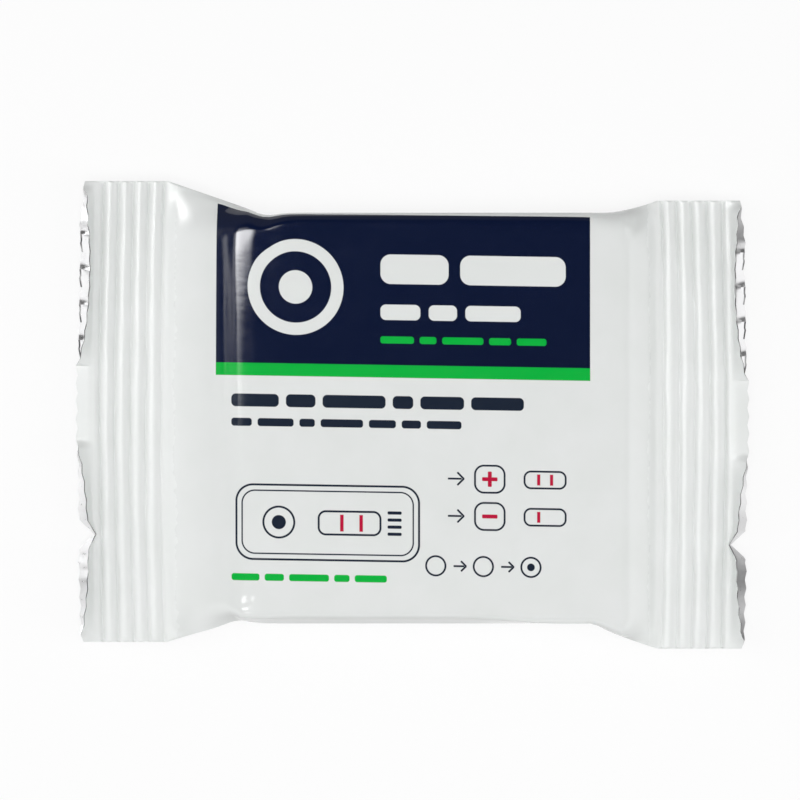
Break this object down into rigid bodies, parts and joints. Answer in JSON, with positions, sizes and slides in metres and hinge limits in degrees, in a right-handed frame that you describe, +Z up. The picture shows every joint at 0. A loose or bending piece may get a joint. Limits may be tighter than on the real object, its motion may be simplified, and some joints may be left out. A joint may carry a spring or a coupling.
{
  "type": "sealed flow-wrap pouch",
  "caption": "Sealed foil flow-wrap pouch over a flat block of contents, with ribbed end seals, curled zig-zag cut lips, tear notches and a fin seal on its back.",
  "frame": {"origin": "centre of the bounding box, at the level that the pouch lies on", "axes": "+X along the pack from the left end seal to the right one, +Y across it, +Z up out of its printed front face"},
  "size_m": [0.105, 0.0732, 0.0089],
  "materials": {
    "film": "gloss printed foil laminate film"
  },
  "bodies": {
    "root": {"flow_wrap_pouch": "film"}
  },
  "joints": []
}
